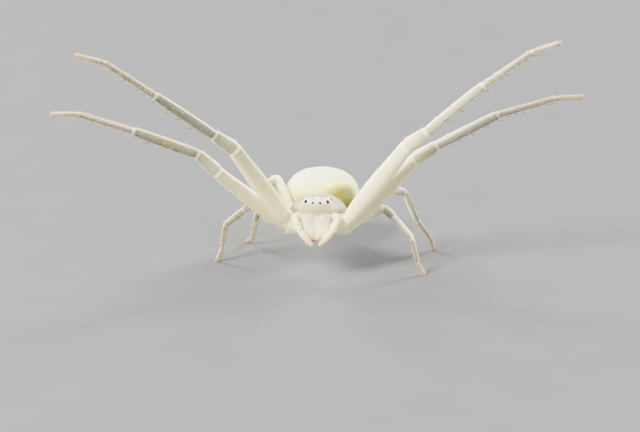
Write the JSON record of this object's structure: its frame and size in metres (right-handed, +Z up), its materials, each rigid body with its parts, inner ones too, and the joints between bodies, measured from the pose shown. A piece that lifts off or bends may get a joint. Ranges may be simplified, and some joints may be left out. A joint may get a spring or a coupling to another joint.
{
  "type": "crab spider",
  "caption": "White female crab spider, life-size, standing on short hind legs with its long front legs raised and spread wide, a rounded abdomen behind.",
  "frame": {"origin": "middle of the whole model's box, on the floor that it stands on", "axes": "+X to the spider's own left, which is the right of the picture, along the spread of its front legs; +Y from its face to its rear; +Z up"},
  "size_m": [0.0258, 0.0098, 0.0124],
  "materials": {
    "head_skin": "pale greenish white translucent cuticle with a soft sheen",
    "abdomen_skin": "opaque milky white skin, faintly yellow, with a low sheen",
    "leg_skin": "glassy ivory-white cuticle, translucent at the edges",
    "jaw_skin": "smooth cream-white cuticle",
    "fang": "glossy orange-brown horn",
    "eye_lens": "glossy dark lens"
  },
  "bodies": {
    "root": {"carapace": "head_skin", "sternum": "head_skin", "pedicel": "head_skin", "abdomen": "abdomen_skin", "spinnerets": "abdomen_skin", "mouthparts": "jaw_skin", "chelicera_left": "jaw_skin", "chelicera_right": "jaw_skin", "fang_left": "fang", "fang_right": "fang", "pedipalp_left": "leg_skin", "pedipalp_right": "leg_skin", "eye_front_middle_left": "eye_lens", "eye_front_middle_right": "eye_lens", "eye_front_side_left": "eye_lens", "eye_front_side_right": "eye_lens", "eye_rear_middle_left": "eye_lens", "eye_rear_middle_right": "eye_lens", "eye_rear_side_left": "eye_lens", "eye_rear_side_right": "eye_lens", "leg1_left": "leg_skin", "leg1_right": "leg_skin", "leg2_left": "leg_skin", "leg2_right": "leg_skin", "leg3_left": "leg_skin", "leg3_right": "leg_skin", "leg4_left": "leg_skin", "leg4_right": "leg_skin"}
  },
  "joints": []
}
